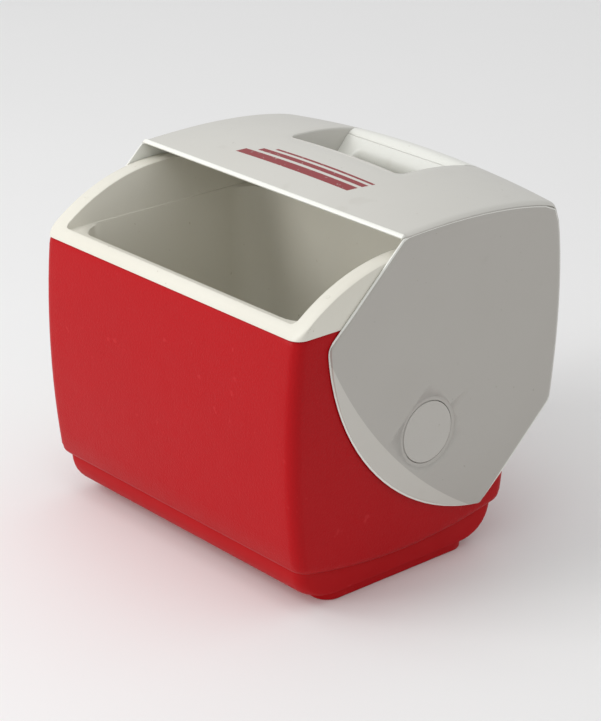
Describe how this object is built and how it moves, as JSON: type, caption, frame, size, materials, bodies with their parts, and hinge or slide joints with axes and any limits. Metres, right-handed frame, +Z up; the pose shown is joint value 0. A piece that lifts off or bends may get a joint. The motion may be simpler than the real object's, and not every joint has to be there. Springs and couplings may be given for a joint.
{
  "type": "insulated personal cooler",
  "caption": "Small insulated drink cooler: red tub body with a white liner and a tent-shaped lid that swings on side arms, with a moulded grip and a push button.",
  "frame": {"origin": "middle of the flat rest face under the base", "axes": "+Z up, +X to the push-button side, +Y to the back, where the lid is swung at rest"},
  "size_m": [0.2844, 0.2567, 0.2645],
  "materials": {
    "red_shell": "pebbled satin",
    "white_liner": "satin",
    "white_hub": "satin",
    "lid_grey": "satin",
    "lid_inner": "satin",
    "arm_grey": "fine satin",
    "grip_white": "satin",
    "button_white": "satin",
    "foam": "open foam",
    "bush": "slick",
    "steel": "bright"
  },
  "bodies": {
    "body": {"outer_shell": "red_shell", "body_foam": "foam", "inner_liner": "white_liner", "pivot_cup_right": "white_hub", "pivot_cup_left": "white_hub", "pivot_bush_right": "bush", "pivot_bush_left": "bush", "latch_strike": "steel", "strike_rivets": "steel"},
    "lid": {"lid_roof": "lid_grey", "lid_foam": "foam", "lid_liner": "lid_inner", "arm_right": "arm_grey", "arm_left": "arm_grey", "grip_cap": "grip_white", "grip_base": "grip_white", "grip_screws": "steel", "pivot_pin_right": "steel", "pivot_pin_left": "steel", "pivot_washer_right": "bush", "pivot_washer_left": "bush", "button_spring": "steel"},
    "button": {"release_button": "button_white", "latch_pin": "steel", "stem_clip": "steel"}
  },
  "joints": [
    {"name": "lid_swing", "type": "hinge", "parent": "body", "child": "lid", "pos_m": [0, 0, 0.117], "axis": [1, 0, 0], "range_deg": [0, 94.4]},
    {"name": "button_press", "type": "slide", "parent": "lid", "child": "button", "axis": [-1, 0, 0], "range_m": [0, 0.002], "stiffness_N_per_m": 900, "springref_m": -0.002, "deforming": ["button_spring"]}
  ]
}
